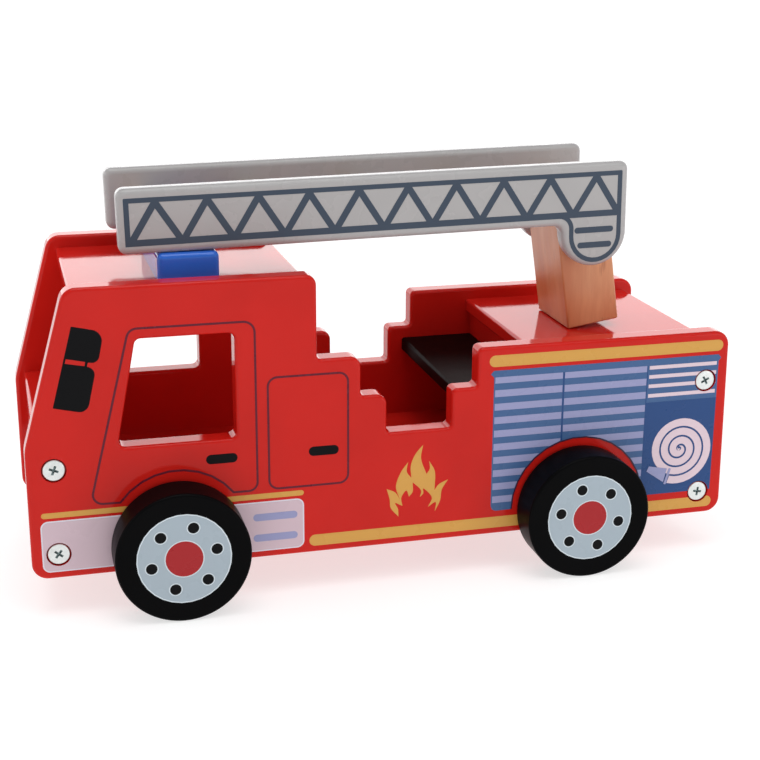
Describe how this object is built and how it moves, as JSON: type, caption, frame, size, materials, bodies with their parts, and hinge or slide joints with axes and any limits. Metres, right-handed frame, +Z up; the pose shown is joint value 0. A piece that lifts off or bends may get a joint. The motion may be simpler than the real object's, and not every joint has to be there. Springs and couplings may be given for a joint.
{
  "type": "toy fire engine",
  "caption": "Wooden toy fire engine: two board sides joined by cross boards, free-rolling wheels, and a ladder that lifts on a swivelling block above the rear deck.",
  "frame": {"origin": "on the floor, under the middle of the side panels' length and width", "axes": "front along -X, +Y to the engine's right-hand side, +Z up"},
  "size_m": [0.2779, 0.135, 0.1584],
  "materials": {
    "red_paint": "gloss red paint over board, with printed graphics",
    "blue_paint": "gloss blue paint",
    "dark_paint": "gloss dark brown paint",
    "black_paint": "gloss black paint, with printed hub",
    "grey_paint": "satin light grey paint, with printed truss",
    "plain_wood": "clear lacquered wood",
    "dowel_wood": "plain dowel",
    "zinc": "zinc plated",
    "steel": "plain steel rod"
  },
  "bodies": {
    "chassis": {"left_side_panel": "red_paint", "right_side_panel": "red_paint", "cab_roof": "red_paint", "front_board": "red_paint", "tail_board": "red_paint", "floor_board": "red_paint", "bulkhead": "red_paint", "rear_deck": "red_paint", "bench_seat": "dark_paint", "roof_light": "blue_paint", "side_screws": "zinc"},
    "front_wheelset": {"front_axle": "steel", "wheel_front_left": "black_paint", "wheel_front_right": "black_paint"},
    "rear_wheelset": {"rear_axle": "steel", "wheel_rear_left": "black_paint", "wheel_rear_right": "black_paint"},
    "turntable": {"turntable_block": "plain_wood", "swivel_screw": "zinc", "swivel_washer": "zinc"},
    "ladder": {"ladder_rail_left": "grey_paint", "ladder_rail_right": "grey_paint", "ladder_pivot_dowel": "dowel_wood", "ladder_rungs": "dowel_wood"}
  },
  "joints": [
    {"name": "front_wheels_roll", "type": "hinge", "parent": "chassis", "child": "front_wheelset", "pos_m": [-0.0849, 0, 0.0252], "axis": [0, 1, 0], "continuous": true},
    {"name": "rear_wheels_roll", "type": "hinge", "parent": "chassis", "child": "rear_wheelset", "pos_m": [0.0744, 0, 0.0252], "axis": [0, 1, 0], "continuous": true},
    {"name": "turntable_swivel", "type": "hinge", "parent": "chassis", "child": "turntable", "pos_m": [0.0944, 0, 0.0848], "axis": [0, 0, 1], "continuous": true},
    {"name": "ladder_lift", "type": "hinge", "parent": "turntable", "child": "ladder", "pos_m": [0.08758, 0, 0.13045], "axis": [0, 1, 0], "range_deg": [0, 80]}
  ]
}
